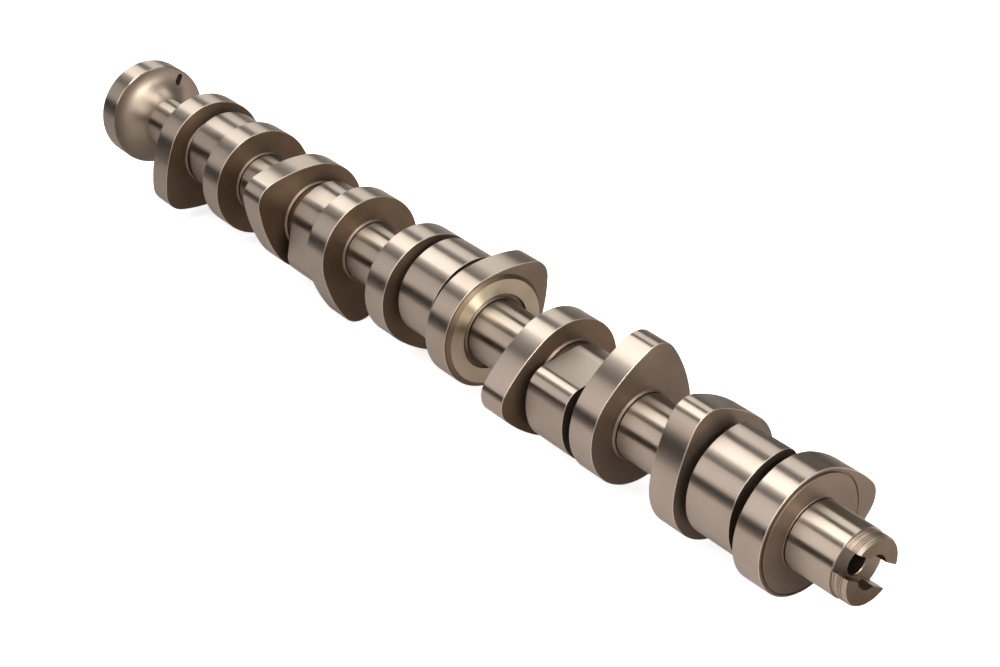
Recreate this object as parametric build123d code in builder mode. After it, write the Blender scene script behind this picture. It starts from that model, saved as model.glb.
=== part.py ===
from build123d import *
import os
from math import atan2, cos, degrees, hypot, radians, sin, sqrt, tan

os.makedirs("parts", exist_ok=True)

# Five-cylinder camshaft, turned and ground from one forging. All sizes are in millimetres.
# The axis is X. The origin is the middle of the rear face of the gear flange, and the shaft
# runs towards +X, to the slotted drive end. Angles are turned about +X, from +Y towards +Z.

# Layout along the axis
cylinder_count = 5
group_pitch = 87.3
thrust_journal_extra = 3.1
first_group = 82.4
valve_lobe_spacing = 42.8
valve_lobe_width = 12.8
injector_lobe_width = 21.7

# Valve lobes: base circle, flank and nose arcs
base_radius = 25.9
valve_lift = 8.7
nose_radius = 10.1
flank_radius = 66.0
lobe_edge = 0.35

# Injector lobes: a steep flat flank, a short dwell and a long even fall
injector_lift = 9.1
injector_shoulder_radius = 9.0
injector_flank_foot = 23.0
injector_dwell = 42.0
injector_fall = 202.0
injector_fall_points = 6
injector_base_land = 0.5
injector_edge = 0.3

# Timing: the leading valve lobe of each cylinder, counted from the flange, and what follows it
leading_lobe_angles = [218.0, 146.0, 290.0, 74.0, 2.0]
leading_lobe_is_rear = [True, True, True, False, False]
trailing_lobe_lag = 108.0

# The third journal is the thrust bearing: it is longer, and the lobe before it has a thrust boss
has_thrust_boss = [False, False, True, False, False]

# Barrel of the shaft: a coned shoulder and a narrow relief run into each lobe face
journal_radius = 14.15
core_radius = 16.3
neck_radius = 12.3
shoulder_height = 1.1
shoulder_lip = 0.3
shoulder_width = 0.8
relief_depth = 0.3
relief_width = 0.6

# Gear flange
rim_radius = 25.5
rim_thickness = 11.6
rim_edge = 0.6
trumpet_radius = 11.8
pilot_radius = 7.0
pilot_depth = 14.0
bolt_circle_radius = 16.5
bolt_hole_radius = 3.4
bolt_hole_depth = 10.0
bolt_count = 4
timing_slot_length = 6.0
timing_slot_width = 3.0
timing_slot_centre = 20.9
timing_slot_angle = 50.0

# Thrust boss, and turned face on the last lobe
thrust_face_radius = 23.5
thrust_foot_radius = 25.0
thrust_height = 1.5
thrust_bore_radius = 16.9
end_face_radius = 24.0
end_face_height = 0.6
end_face_edge = 0.2

# Drive end
end_journal_length = 21.9
tongue_radius = 13.7
tongue_length = 6.8
tongue_edge_length = 1.1
tongue_edge_height = 0.6
tongue_relief_width = 2.4
tongue_relief_depth = 0.3
slot_width = 9.4
slot_depth = 6.8
slot_angle = -34.0
socket_radius = 7.0
socket_depth = 5.6
bore_radius = 4.8
bore_depth = 30.0
drill_point = 118.0

# Places worked out from the sizes above
valve_side = valve_lobe_spacing / 2
valve_half = valve_lobe_width / 2
groups = [
    first_group + group_pitch * number + thrust_journal_extra * sum(has_thrust_boss[:number])
    for number in range(cylinder_count)
]
front_face = groups[-1] + valve_side + valve_half
journal_end = front_face + end_journal_length
shaft_end = journal_end + tongue_length
injector_base_radius = core_radius + injector_base_land
injector_top_radius = injector_base_radius + injector_lift


def polar(radius, angle):
    """Point at a radius and an angle in degrees."""
    return (radius * cos(radians(angle)), radius * sin(radians(angle)))


# Valve lobe with its nose towards local +X, centred on the axis and on its own width.
# Each flank arc holds the base circle and the nose arc inside itself, touching both.
nose_centre = base_radius + valve_lift - nose_radius
flank_to_base = flank_radius - base_radius
flank_to_nose = flank_radius - nose_radius
flank_x = (flank_to_base**2 - flank_to_nose**2 + nose_centre**2) / (2 * nose_centre)
flank_y = -sqrt(flank_to_base**2 - flank_x**2)
base_touch = degrees(atan2(-flank_y, -flank_x))
nose_touch = degrees(atan2(-flank_y, nose_centre - flank_x))

with BuildPart() as valve_lobe:
    with BuildSketch(Plane.YZ.offset(-valve_half)):
        with BuildLine():
            CenterArc((0, 0), base_radius, base_touch, 360 - 2 * base_touch)
            CenterArc((flank_x, flank_y), flank_radius, nose_touch, base_touch - nose_touch)
            CenterArc((nose_centre, 0), nose_radius, -nose_touch, 2 * nose_touch)
            CenterArc((flank_x, -flank_y), flank_radius, -base_touch, base_touch - nose_touch)
        make_face()
    extrude(amount=valve_lobe_width)
    chamfer(valve_lobe.faces().sort_by(Axis.X)[0].edges(), lobe_edge)
    chamfer(valve_lobe.faces().sort_by(Axis.X)[-1].edges(), lobe_edge)

# Injector lobe, in step with the leading valve lobe. The flat flank leaves the base circle at
# its foot, the shoulder arc rounds it into the top circle, and the fall is an even spiral.
shoulder_across = injector_base_radius - injector_shoulder_radius
shoulder_reach = injector_top_radius - injector_shoulder_radius
shoulder_along = sqrt(shoulder_reach**2 - shoulder_across**2)
dwell_start = injector_flank_foot + degrees(atan2(shoulder_along, shoulder_across))
fall_start = dwell_start + injector_dwell
fall_end = fall_start + injector_fall
shoulder_centre = polar(shoulder_reach, dwell_start)
flank_top = polar(hypot(injector_base_radius, shoulder_along),
                  injector_flank_foot + degrees(atan2(shoulder_along, injector_base_radius)))
fall_shares = [step / (injector_fall_points - 1) for step in range(injector_fall_points)]
fall_points = [
    polar(injector_top_radius - injector_lift * share, fall_start + injector_fall * share)
    for share in fall_shares
]

with BuildPart() as injector_lobe:
    with BuildSketch(Plane.YZ.offset(-injector_lobe_width / 2)):
        with BuildLine():
            Line(polar(injector_base_radius, injector_flank_foot), flank_top)
            CenterArc(shoulder_centre, injector_shoulder_radius, injector_flank_foot,
                      dwell_start - injector_flank_foot)
            CenterArc((0, 0), injector_top_radius, dwell_start, injector_dwell)
            Spline(*fall_points, tangents=[polar(1, fall_start + 90), polar(1, fall_end + 90)])
            CenterArc((0, 0), injector_base_radius, fall_end,
                      360 + injector_flank_foot - fall_end)
        make_face()
    extrude(amount=injector_lobe_width)
    chamfer(injector_lobe.faces().sort_by(Axis.X)[0].edges(), injector_edge)
    chamfer(injector_lobe.faces().sort_by(Axis.X)[-1].edges(), injector_edge)


def shoulder_step(face, radius, way):
    """Outline of the shoulder and relief at a lobe face, going away from it, +1 or -1 along X."""
    shoulder_end = face + way * shoulder_width
    relief_end = shoulder_end + way * relief_width
    return [
        (face, radius + shoulder_height),
        (shoulder_end, radius + shoulder_lip),
        (shoulder_end, radius - relief_depth),
        (relief_end, radius - relief_depth),
        (relief_end, radius),
    ]


def turned_stretch(start, end, radius):
    """Outline of a barrel between two lobe faces, with a shoulder and a relief at each end."""
    return shoulder_step(start, radius, 1) + shoulder_step(end, radius, -1)[::-1]


# Outline of the turned barrel, from the trumpet to the drive end
trumpet_end = rim_thickness + trumpet_radius
trumpet_top = neck_radius + trumpet_radius
barrel = [(trumpet_end, neck_radius), (groups[0] - valve_side, neck_radius)]
for number, middle in enumerate(groups):
    barrel += turned_stretch(middle - valve_side + valve_half, middle + valve_side - valve_half,
                             core_radius)
    if number + 1 < cylinder_count:
        barrel += turned_stretch(middle + valve_side + valve_half,
                                 groups[number + 1] - valve_side - valve_half, journal_radius)
tongue_relief = tongue_radius - tongue_relief_depth
barrel += shoulder_step(front_face, journal_radius, 1)
barrel += [
    (journal_end, journal_radius),
    (journal_end, tongue_relief),
    (journal_end + tongue_relief_width, tongue_relief),
    (journal_end + tongue_relief_width, tongue_radius),
    (shaft_end - tongue_edge_length, tongue_radius),
    (shaft_end, tongue_radius - tongue_edge_height),
    (shaft_end, 0),
    (0, 0),
]

with BuildPart() as camshaft:
    # Flange, trumpet and barrel, turned in one
    with BuildSketch(Plane.XZ):
        with BuildLine():
            Polyline(
                (0, 0),
                (0, rim_radius - rim_edge),
                (rim_edge, rim_radius),
                (rim_thickness - rim_edge, rim_radius),
                (rim_thickness, rim_radius - rim_edge),
                (rim_thickness, trumpet_top),
            )
            CenterArc((trumpet_end, trumpet_top), trumpet_radius, 180, 90)
            Polyline(*barrel)
        make_face()
    revolve(axis=Axis.X)

    # Three lobes of each cylinder
    for middle, angle, leads_at_rear in zip(groups, leading_lobe_angles, leading_lobe_is_rear):
        leading_side = -valve_side if leads_at_rear else valve_side
        with Locations(Location((middle + leading_side, 0, 0), (angle, 0, 0))):
            add(valve_lobe.part)
        with Locations(Location((middle - leading_side, 0, 0), (angle + trailing_lobe_lag, 0, 0))):
            add(valve_lobe.part)
        with Locations(Location((middle, 0, 0), (angle, 0, 0))):
            add(injector_lobe.part)

    # Coned thrust boss, an open ring round the journal shoulder
    thrust_middle = groups[has_thrust_boss.index(True)]
    thrust_face = thrust_middle + valve_side + valve_half
    with BuildSketch(Plane.XZ):
        with BuildLine():
            Polyline(
                (thrust_face - valve_half, thrust_bore_radius),
                (thrust_face + thrust_height, thrust_bore_radius),
                (thrust_face + thrust_height, thrust_face_radius),
                (thrust_face, thrust_foot_radius),
                (thrust_face - valve_half, thrust_foot_radius),
                close=True,
            )
        make_face()
    revolve(axis=Axis.X)

    # Turned end face on the last lobe
    with BuildSketch(Plane.XZ):
        with BuildLine():
            Polyline(
                (front_face - valve_half, 0),
                (front_face + end_face_height, 0),
                (front_face + end_face_height, end_face_radius - end_face_edge),
                (front_face + end_face_height - end_face_edge, end_face_radius),
                (front_face - valve_half, end_face_radius),
                close=True,
            )
        make_face()
    revolve(axis=Axis.X)

    # Slot across the drive end, with its socket and drilled bore
    with BuildSketch(Plane.YZ.offset(shaft_end)):
        Rectangle(2 * journal_radius, slot_width, rotation=slot_angle)
    extrude(amount=-slot_depth, mode=Mode.SUBTRACT)
    with BuildSketch(Plane.YZ.offset(shaft_end)):
        Circle(socket_radius)
    extrude(amount=-socket_depth, mode=Mode.SUBTRACT)
    drill_tip = bore_radius / tan(radians(drill_point / 2))
    with BuildSketch(Plane.XZ):
        with BuildLine():
            Polyline(
                (shaft_end, 0),
                (shaft_end, bore_radius),
                (shaft_end - bore_depth, bore_radius),
                (shaft_end - bore_depth - drill_tip, 0),
                close=True,
            )
        make_face()
    revolve(axis=Axis.X, mode=Mode.SUBTRACT)

    # Pilot bore, tapped bolt holes and timing slot of the gear flange
    with BuildSketch(Plane.YZ):
        Circle(pilot_radius)
    extrude(amount=pilot_depth, mode=Mode.SUBTRACT)
    with BuildSketch(Plane.YZ):
        with PolarLocations(bolt_circle_radius, bolt_count):
            Circle(bolt_hole_radius)
    extrude(amount=bolt_hole_depth, mode=Mode.SUBTRACT)
    with BuildSketch(Plane.YZ):
        with PolarLocations(timing_slot_centre, 1, start_angle=timing_slot_angle):
            SlotOverall(timing_slot_length, timing_slot_width)
    extrude(amount=trumpet_end, mode=Mode.SUBTRACT)

camshaft.part.label = "camshaft"
export_step(camshaft.part, "parts/camshaft.step")
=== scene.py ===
"""Looks of a five-cylinder camshaft: ground tracks, turned faces, gear flange and drive end."""

import logging
import math
from dataclasses import dataclass, field
from enum import Enum

import bpy
import numpy as np
from mathutils import Matrix, Vector


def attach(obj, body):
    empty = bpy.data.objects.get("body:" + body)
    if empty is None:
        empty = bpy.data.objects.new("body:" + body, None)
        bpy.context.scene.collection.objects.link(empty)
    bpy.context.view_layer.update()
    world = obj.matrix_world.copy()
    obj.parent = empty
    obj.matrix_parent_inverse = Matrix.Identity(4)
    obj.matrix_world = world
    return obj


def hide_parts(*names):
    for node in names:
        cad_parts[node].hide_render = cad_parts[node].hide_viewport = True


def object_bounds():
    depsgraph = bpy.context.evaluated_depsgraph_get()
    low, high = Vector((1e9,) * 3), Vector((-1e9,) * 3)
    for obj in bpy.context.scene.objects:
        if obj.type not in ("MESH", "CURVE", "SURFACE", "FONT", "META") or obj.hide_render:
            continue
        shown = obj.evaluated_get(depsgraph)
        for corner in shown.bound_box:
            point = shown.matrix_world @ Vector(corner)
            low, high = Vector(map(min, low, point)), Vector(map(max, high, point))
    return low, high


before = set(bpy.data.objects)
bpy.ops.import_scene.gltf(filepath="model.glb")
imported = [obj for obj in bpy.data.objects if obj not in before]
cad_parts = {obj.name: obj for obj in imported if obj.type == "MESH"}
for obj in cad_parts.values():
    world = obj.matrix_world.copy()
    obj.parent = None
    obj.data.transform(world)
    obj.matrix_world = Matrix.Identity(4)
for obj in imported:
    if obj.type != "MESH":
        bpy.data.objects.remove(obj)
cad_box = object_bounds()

MM = 0.001
NODE = "camshaft"
BODY = "root"
UV_MAP = "around"
UV_UNIT = 50.0 * MM
STEPS = 480
TURN = 2.0 * math.pi
SHARP_ANGLE = math.radians(32.0)
WELD = 1.0e-7
WHITE = (1.0, 1.0, 1.0, 1.0)

Socket = bpy.types.NodeSocket
Triple = tuple[float, float, float]
Span = tuple[float, float, float, float]
Outline = list[tuple[float, float]]

LOG = logging.getLogger("camshaft")


class Pattern(Enum):
    """How the tool marks of a finish run."""

    GROUND = "lines round the axis, changing along the shaft"
    TURNED = "rings round the axis, changing with the radius"
    MILLED = "straight lines across the end of the shaft"
    DRILLED = "rough lines round a bore"


class Surface(Enum):
    """Finishes of the shaft, in the order of each piece's material slots."""

    TRACK = 0
    JOURNAL = 1
    SIDE = 2
    CORE = 3
    TRUMPET = 4
    THRUST = 5
    END = 6
    MILLED = 7
    BORE = 8
    SCORCHED = 9
    EDGE = 10


class Nodes:
    """Short calls for the nodes of a material, a lamp or the world."""

    def __init__(self, owner: bpy.types.ID) -> None:
        """Turns nodes on for their owner and empties its tree.

        Args:
            owner: Material, lamp data or world.
        """
        owner.use_nodes = True
        self.tree = owner.node_tree
        self.tree.nodes.clear()

    def add(self, kind: str, inputs: dict | None = None, **settings: object) -> bpy.types.Node:
        """Adds a node.

        Args:
            kind: Type of the node, such as ShaderNodeMath.
            inputs: A socket or a plain value for each input that isn't left alone.
            settings: Attributes of the node.

        Returns:
            The new node.
        """
        node = self.tree.nodes.new(kind)
        for name, value in settings.items():
            setattr(node, name, value)
        for name, value in (inputs or {}).items():
            if isinstance(value, Socket):
                self.tree.links.new(value, node.inputs[name])
            else:
                node.inputs[name].default_value = value
        return node

    def math(self, operation: str, first: object, second: object = 0.0) -> Socket:
        """Adds a Math node on two sockets or numbers."""
        return self.add("ShaderNodeMath", {0: first, 1: second}, operation=operation).outputs[0]

    def product(self, first: object, second: object) -> Socket:
        """Multiplies two sockets or numbers."""
        return self.math("MULTIPLY", first, second)

    def parts(self, vector: Socket) -> tuple[Socket, ...]:
        """Splits a vector into its three parts."""
        return tuple(self.add("ShaderNodeSeparateXYZ", {0: vector}).outputs)

    def noise(self, vector: Socket, scale: float, detail: float) -> Socket:
        """Adds a noise from 0 to 1, with a scale in waves for each unit of its vector."""
        inputs = {"Vector": vector, "Scale": scale, "Detail": detail}
        return self.add("ShaderNodeTexNoise", inputs, noise_dimensions="3D").outputs["Fac"]

    def scale(self, vector: Socket, share: object) -> Socket:
        """Scales a colour or vector by a socket or a number."""
        return self.add("ShaderNodeVectorMath", {0: vector, "Scale": share}, operation="SCALE").outputs[0]

    def project(self, place: Socket, way: Triple) -> Socket:
        """Distance of a place along a direction of length 1."""
        return self.add("ShaderNodeVectorMath", {0: place, 1: way}, operation="DOT_PRODUCT").outputs["Value"]

    def spread(self, value: Socket, low: float, high: float,
               to_low: float = 0.0, to_high: float = 1.0) -> Socket:
        """Maps the range from low to high to the one from to_low to to_high, clamped."""
        inputs = {"Value": value, "From Min": low, "From Max": high, "To Min": to_low, "To Max": to_high}
        return self.add("ShaderNodeMapRange", inputs).outputs["Result"]

    def blend(self, factor: Socket, first: Triple, second: Triple) -> Socket:
        """Mixes two colours by a factor from 0 to 1."""
        inputs = {0: factor, 6: (*first, 1.0), 7: (*second, 1.0)}
        return self.add("ShaderNodeMix", inputs, data_type="RGBA").outputs[2]

    def glow(self, colour: object, strength: object) -> Socket:
        """Adds a light of its own, with a colour and a strength."""
        return self.add("ShaderNodeEmission", {"Color": colour, "Strength": strength}).outputs[0]

    def show(self, kind: str, shader: Socket) -> None:
        """Ends the tree with a shader, where kind is Material, Light or World."""
        self.add(f"ShaderNodeOutput{kind}", {"Surface": shader})


@dataclass(frozen=True)
class SteelFinish:
    """One machined finish of the steel.

    The stain is a cloud. Where a way is given, the second colour is painted shade instead, growing along the
    way from the first to the second place of its reach.
    """

    MARK_RUN = 90.0
    MILLED_WIDTH = 0.25
    MARK_OCTAVES = 2.0
    CLOUD_SCALE = 30.0
    CLOUD_OCTAVES = 3.0
    CLOUD_RANGE = (0.35, 0.68)
    GRAIN_SHARES = (0.6, 0.4)
    GRAIN_RANGE = (0.3, 0.7)
    BLUR_TURN = 0.25
    GRAZING_TINT = (0.95, 0.93, 0.90, 1.0)

    name: str
    pattern: Pattern
    tint: Triple
    stain_and_shade: Triple
    roughness: float
    roughness_swing: float
    anisotropy: float
    mark_pitch: float
    mark_depth: float
    painted_shade_way: Triple | None = None
    painted_shade_reach: tuple[float, float] = (0.0, 1.0)

    def marks(self, nodes: Nodes, place: Socket) -> Socket:
        """Vector whose first part crosses the tool marks and whose others follow them.

        Args:
            nodes: Nodes of the material.
            place: Object coordinates.

        Returns:
            The vector, with one unit for each mark across.
        """
        lead, across, up = nodes.parts(place)
        fine = 1.0 / self.mark_pitch
        rates = (fine, self.MARK_RUN, self.MARK_RUN)
        if self.pattern is Pattern.TURNED:
            lead = nodes.math("SQRT", nodes.math("ADD", nodes.product(across, across), nodes.product(up, up)))
        elif self.pattern is Pattern.MILLED:
            rates = (self.MARK_RUN, self.MILLED_WIDTH * fine, fine)
        scaled = [nodes.product(part, rate) for part, rate in zip((lead, across, up), rates)]
        return nodes.add("ShaderNodeCombineXYZ", dict(enumerate(scaled))).outputs[0]

    def material(self) -> bpy.types.Material:
        """Builds the material of the finish.

        Returns:
            A procedural steel with tool marks, stains and an even grain.
        """
        made = bpy.data.materials.new(self.name)
        nodes = Nodes(made)
        place = nodes.add("ShaderNodeTexCoord").outputs["Object"]
        marks = nodes.noise(self.marks(nodes, place), 1.0, self.MARK_OCTAVES)
        cloud = nodes.noise(place, self.CLOUD_SCALE, self.CLOUD_OCTAVES)
        stain_and_shade_share = nodes.spread(cloud, *self.CLOUD_RANGE)
        # Painted shade: when a way is given, the darker colour grows along it in place of the stain cloud.
        if self.painted_shade_way is not None:
            stain_and_shade_share = nodes.spread(nodes.project(place, self.painted_shade_way), *self.painted_shade_reach)
        grain = nodes.math("ADD", nodes.product(marks, self.GRAIN_SHARES[0]),
                           nodes.product(cloud, self.GRAIN_SHARES[1]))
        bump = nodes.add("ShaderNodeBump", {"Strength": 1.0, "Distance": self.mark_depth, "Height": marks})
        tangent = nodes.add("ShaderNodeTangent", direction_type="UV_MAP", uv_map=UV_MAP)
        shader = nodes.add("ShaderNodeBsdfPrincipled", {
            "Base Color": nodes.blend(stain_and_shade_share, self.tint, self.stain_and_shade),
            "Metallic": 1.0,
            "Roughness": nodes.spread(grain, *self.GRAIN_RANGE, self.roughness - self.roughness_swing,
                                      self.roughness + self.roughness_swing),
            "Anisotropic": self.anisotropy,
            "Anisotropic Rotation": self.BLUR_TURN,
            "Specular Tint": self.GRAZING_TINT,
            "Normal": bump.outputs["Normal"],
            "Tangent": tangent.outputs["Tangent"],
        })
        nodes.show("Material", shader.outputs[0])
        return made


class Finishes:
    """All finishes of the shaft, made once and shared by the pieces."""

    RECIPES: dict[Surface, SteelFinish] = {
        Surface.TRACK: SteelFinish("ground_track", Pattern.GROUND, (0.305, 0.250, 0.207),
                                   (0.280, 0.226, 0.184), 0.325, 0.03, 1.0, 0.35 * MM, 0.0008 * MM),
        Surface.JOURNAL: SteelFinish("ground_journal", Pattern.GROUND, (0.312, 0.258, 0.208),
                                     (0.290, 0.236, 0.186), 0.31, 0.03, 1.0, 0.30 * MM, 0.0006 * MM),
        # SIDE: a darker copy of the turned steel, painted shade for the faces between the lobes.
        Surface.SIDE: SteelFinish("turned_side_painted_shade", Pattern.TURNED, (0.155, 0.104, 0.068), (0.115, 0.075, 0.047),
                                  0.45, 0.05, 0.6, 0.45 * MM, 0.0015 * MM),
        # CORE: a very dark tint, painted shade in the deep gaps beside the injector lobes.
        Surface.CORE: SteelFinish("core_painted_shade", Pattern.GROUND, (0.13, 0.095, 0.070), (0.09, 0.065, 0.048),
                                  0.45, 0.06, 0.5, 0.40 * MM, 0.002 * MM),
        Surface.TRUMPET: SteelFinish("turned_trumpet", Pattern.TURNED, (0.30, 0.237, 0.186),
                                     (0.26, 0.202, 0.157), 0.42, 0.04, 0.2, 0.50 * MM, 0.0008 * MM),
        Surface.THRUST: SteelFinish("thrust_face", Pattern.TURNED, (0.55, 0.450, 0.325), (0.48, 0.385, 0.27),
                                    0.42, 0.04, 1.0, 0.30 * MM, 0.001 * MM),
        # END: a paler copy of the SIDE steel, painted light for open faces near the drive end.
        Surface.END: SteelFinish("turned_end_painted_light", Pattern.TURNED, (0.174, 0.126, 0.093), (0.150, 0.107, 0.079),
                                 0.48, 0.05, 0.4, 0.45 * MM, 0.003 * MM),
        # MILLED: milled tool marks, with a darker tint that paints shade into the slots.
        Surface.MILLED: SteelFinish("milled_slot_painted_shade", Pattern.MILLED, (0.20, 0.150, 0.108), (0.13, 0.096, 0.070),
                                    0.36, 0.06, 0.4, 0.40 * MM, 0.002 * MM),
        # BORE: a very dark tint, painted shade in bores, reliefs and grooves.
        Surface.BORE: SteelFinish("drilled_bore_painted_shade", Pattern.DRILLED, (0.10, 0.075, 0.055), (0.06, 0.045, 0.035),
                                  0.42, 0.08, 0.2, 0.60 * MM, 0.004 * MM),
        # Slot floor: painted shade that grows darker along its way across the floor.
        Surface.SCORCHED: SteelFinish("slot_floor_painted_shade", Pattern.MILLED, (0.19, 0.146, 0.105),
                                      (0.10, 0.077, 0.057), 0.36, 0.05, 0.4, 0.50 * MM, 0.004 * MM,
                                      painted_shade_way=(0.0, -0.871, -0.486), painted_shade_reach=(-6.0 * MM, 5.0 * MM)),
        # EDGE: a brighter tint than the track, a painted highlight on the rounded edges.
        Surface.EDGE: SteelFinish("edge_painted_highlight", Pattern.GROUND, (0.38, 0.318, 0.262), (0.33, 0.273, 0.225),
                                  0.36, 0.04, 0.0, 0.35 * MM, 0.0006 * MM),
    }

    def __init__(self) -> None:
        """Makes every material, in the order of the slots."""
        self.materials = [self.RECIPES[surface].material() for surface in Surface]


def put(name: str, data: bpy.types.ID) -> bpy.types.Object:
    """Adds an object with its data to the scene."""
    made = bpy.data.objects.new(name, data)
    bpy.context.scene.collection.objects.link(made)
    return made


def put_card(name: str, corners: list[tuple], material: bpy.types.Material) -> bpy.types.Object:
    """Adds one flat face to the scene.

    Args:
        name: Name of the card.
        corners: Its four corners, in turn.
        material: Its material.

    Returns:
        The card.
    """
    mesh = bpy.data.meshes.new(name)
    mesh.from_pydata(corners, [], [(0, 1, 2, 3)])
    mesh.materials.append(material)
    return put(name, mesh)


class Patchwork:
    """A piece's surface, put together from grids of points and welded where they meet."""

    ROUNDING_STEPS = 2

    def __init__(self, name: str) -> None:
        """Starts an empty piece.

        Args:
            name: Name of the piece.
        """
        self.name = name
        self.corners: list[np.ndarray] = []
        self.charts: list[np.ndarray] = []
        self.surfaces: list[np.ndarray] = []

    def add(self, points: np.ndarray, chart: np.ndarray, surfaces: Surface | list[Surface]) -> None:
        """Adds a grid, whose outward side is (step along a row) x (step to the next row).

        Args:
            points: Places, rows x columns x 3.
            chart: Place on the UV map, rows x columns x 2.
            surfaces: One finish, or one for each band between two rows.
        """
        bands, cells = points.shape[0] - 1, points.shape[1] - 1
        for store, grid in ((self.corners, points), (self.charts, chart)):
            quads = np.stack([grid[:-1, :-1], grid[:-1, 1:], grid[1:, 1:], grid[1:, :-1]], axis=2)
            store.append(quads.reshape(bands * cells, 4, -1))
        chosen = [surfaces] * bands if isinstance(surfaces, Surface) else surfaces
        self.surfaces.append(np.repeat([surface.value for surface in chosen], cells))

    def build(self, finishes: Finishes, bevel: float = 0.0) -> bpy.types.Object:
        """Welds equal corners, drops cells that closed up and makes the object.

        Args:
            finishes: Materials of the piece.
            bevel: Width of a rounding on sharp edges, or 0 for none.

        Returns:
            The piece, riding on the shaft's body and standing for its node.
        """
        corners, charts, surfaces = map(np.concatenate, (self.corners, self.charts, self.surfaces))
        keys = np.round(corners.reshape(-1, 3) / WELD).astype(np.int64)
        _, first, inverse = np.unique(keys, axis=0, return_index=True, return_inverse=True)
        places = corners.reshape(-1, 3)[first]
        faces = inverse.reshape(-1, 4)
        same = faces == np.roll(faces, -1, axis=1)
        opposite = (faces[:, 0] == faces[:, 2]) | (faces[:, 1] == faces[:, 3])
        square = (same.sum(axis=1) == 0) & ~opposite
        corner = (same.sum(axis=1) == 1) & ~opposite
        kept = ~same[corner]
        triangles = faces[corner][kept].reshape(-1, 3)
        mesh = bpy.data.meshes.new(self.name)
        mesh.from_pydata(places.tolist(), [], faces[square].tolist() + triangles.tolist())
        flat = np.concatenate([charts[square].reshape(-1, 2), charts[corner][kept]])
        mesh.uv_layers.new(name=UV_MAP).data.foreach_set("uv", flat.astype(np.float32).ravel())
        used, slots = np.unique(np.concatenate([surfaces[square], surfaces[corner]]), return_inverse=True)
        mesh.polygons.foreach_set("material_index", slots.astype(np.int32))
        mesh.polygons.foreach_set("use_smooth", np.ones(len(mesh.polygons), dtype=bool))
        for surface in used:
            mesh.materials.append(finishes.materials[surface])
        mesh.update()
        mesh.set_sharp_from_angle(angle=SHARP_ANGLE)
        piece = put(self.name, mesh)
        if bevel:
            rounding = piece.modifiers.new("Edge rounding", "BEVEL")
            rounding.width = bevel
            rounding.segments = self.ROUNDING_STEPS
            rounding.limit_method = "ANGLE"
            rounding.angle_limit = SHARP_ANGLE
            rounding.harden_normals = False
        piece.modifiers.new("Even shading", "WEIGHTED_NORMAL").keep_sharp = True
        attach(piece, BODY)
        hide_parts(NODE)
        return piece


def rounded(corner: tuple[float, float], back: tuple[float, float], onward: tuple[float, float],
            steps: int = 5) -> Outline:
    """Quarter of an ellipse inside a right corner, both ends included.

    A point is corner + back (1 - sin t) + onward (1 - cos t), t from 0 to 90 degrees.

    Args:
        corner: The corner that is rounded off, place along the axis and radius.
        back: Way from the corner to the first point.
        onward: Way from the corner to the last point.
        steps: Number of chords.

    Returns:
        The points of the outline.
    """
    turn = np.linspace(0.0, math.pi / 2.0, steps + 1)
    arc = corner + np.outer(1.0 - np.sin(turn), back) + np.outer(1.0 - np.cos(turn), onward)
    return [tuple(point) for point in arc]


def fan(start: float, stop: float) -> np.ndarray:
    """Angles from start to stop, a step of the whole turn apart."""
    return np.linspace(start, stop, round((stop - start) / TURN * STEPS) + 1)


def polar(radius: object, turn: object) -> np.ndarray:
    """Points y and z at a distance from the axis and a turn about it."""
    return np.stack([radius * np.cos(turn), radius * np.sin(turn)], axis=-1)


def raised(along: object, flat: np.ndarray) -> np.ndarray:
    """Grid of points from their places along the axis and their y and z."""
    return np.concatenate([np.broadcast_to(along, flat.shape[:2])[..., None], flat], axis=2)


def spread_chart(first: np.ndarray, second: np.ndarray) -> np.ndarray:
    """UV map of a grid from its two parts, each of them spread over the whole grid."""
    return np.stack(np.broadcast_arrays(first, second), axis=2)


def run_down(steps: np.ndarray) -> np.ndarray:
    """Length from the first row to each row on the UV map, as a column."""
    return np.concatenate([[0.0], np.cumsum(steps)])[:, None] / UV_UNIT


class TurnedSkin:
    """A closed skin of rings round the shaft's axis.

    A ring's point at angle a is (x, r cos a, r sin a), where x and r may change with a. A radius of
    0 is a pole. The outline runs so that the metal is on its right, seen with X to the right.
    """

    def __init__(self, start: float = 0.0, stop: float = TURN) -> None:
        """Starts an empty skin.

        Args:
            start: First angle.
            stop: Last angle, a whole turn on for a closed skin.
        """
        self.angles = fan(start, stop)
        self.rings: list[tuple[np.ndarray, np.ndarray]] = []
        self.surfaces: list[Surface] = []

    def ring(self, along: object, radius: object, surface: Surface = Surface.SIDE) -> None:
        """Adds a ring.

        Args:
            along: Place along the axis, a number or one for each angle.
            radius: Radius, a number or one for each angle.
            surface: Finish of the band that leads to this ring.
        """
        ones = np.ones_like(self.angles)
        self.rings.append((along * ones, radius * ones))
        self.surfaces.append(surface)

    def outline(self, points: Outline, surface: Surface) -> None:
        """Adds a ring for each point of an outline, all with one finish."""
        for along, radius in points:
            self.ring(along, radius, surface)

    def lay(self, patchwork: Patchwork) -> None:
        """Adds the skin to a piece, charted by its turn and the length along its outline.

        Args:
            patchwork: Piece that it goes to.
        """
        along, radius = np.stack(self.rings, axis=1)
        points = raised(along, polar(radius, self.angles))
        if abs(self.angles[-1] - self.angles[0] - TURN) < WELD:
            points[:, -1] = points[:, 0]
        steps = np.hypot(np.diff(along, axis=0), np.diff(radius, axis=0)).mean(axis=1)
        patchwork.add(points, spread_chart(self.angles / TURN, run_down(steps)), self.surfaces[1:])


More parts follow.
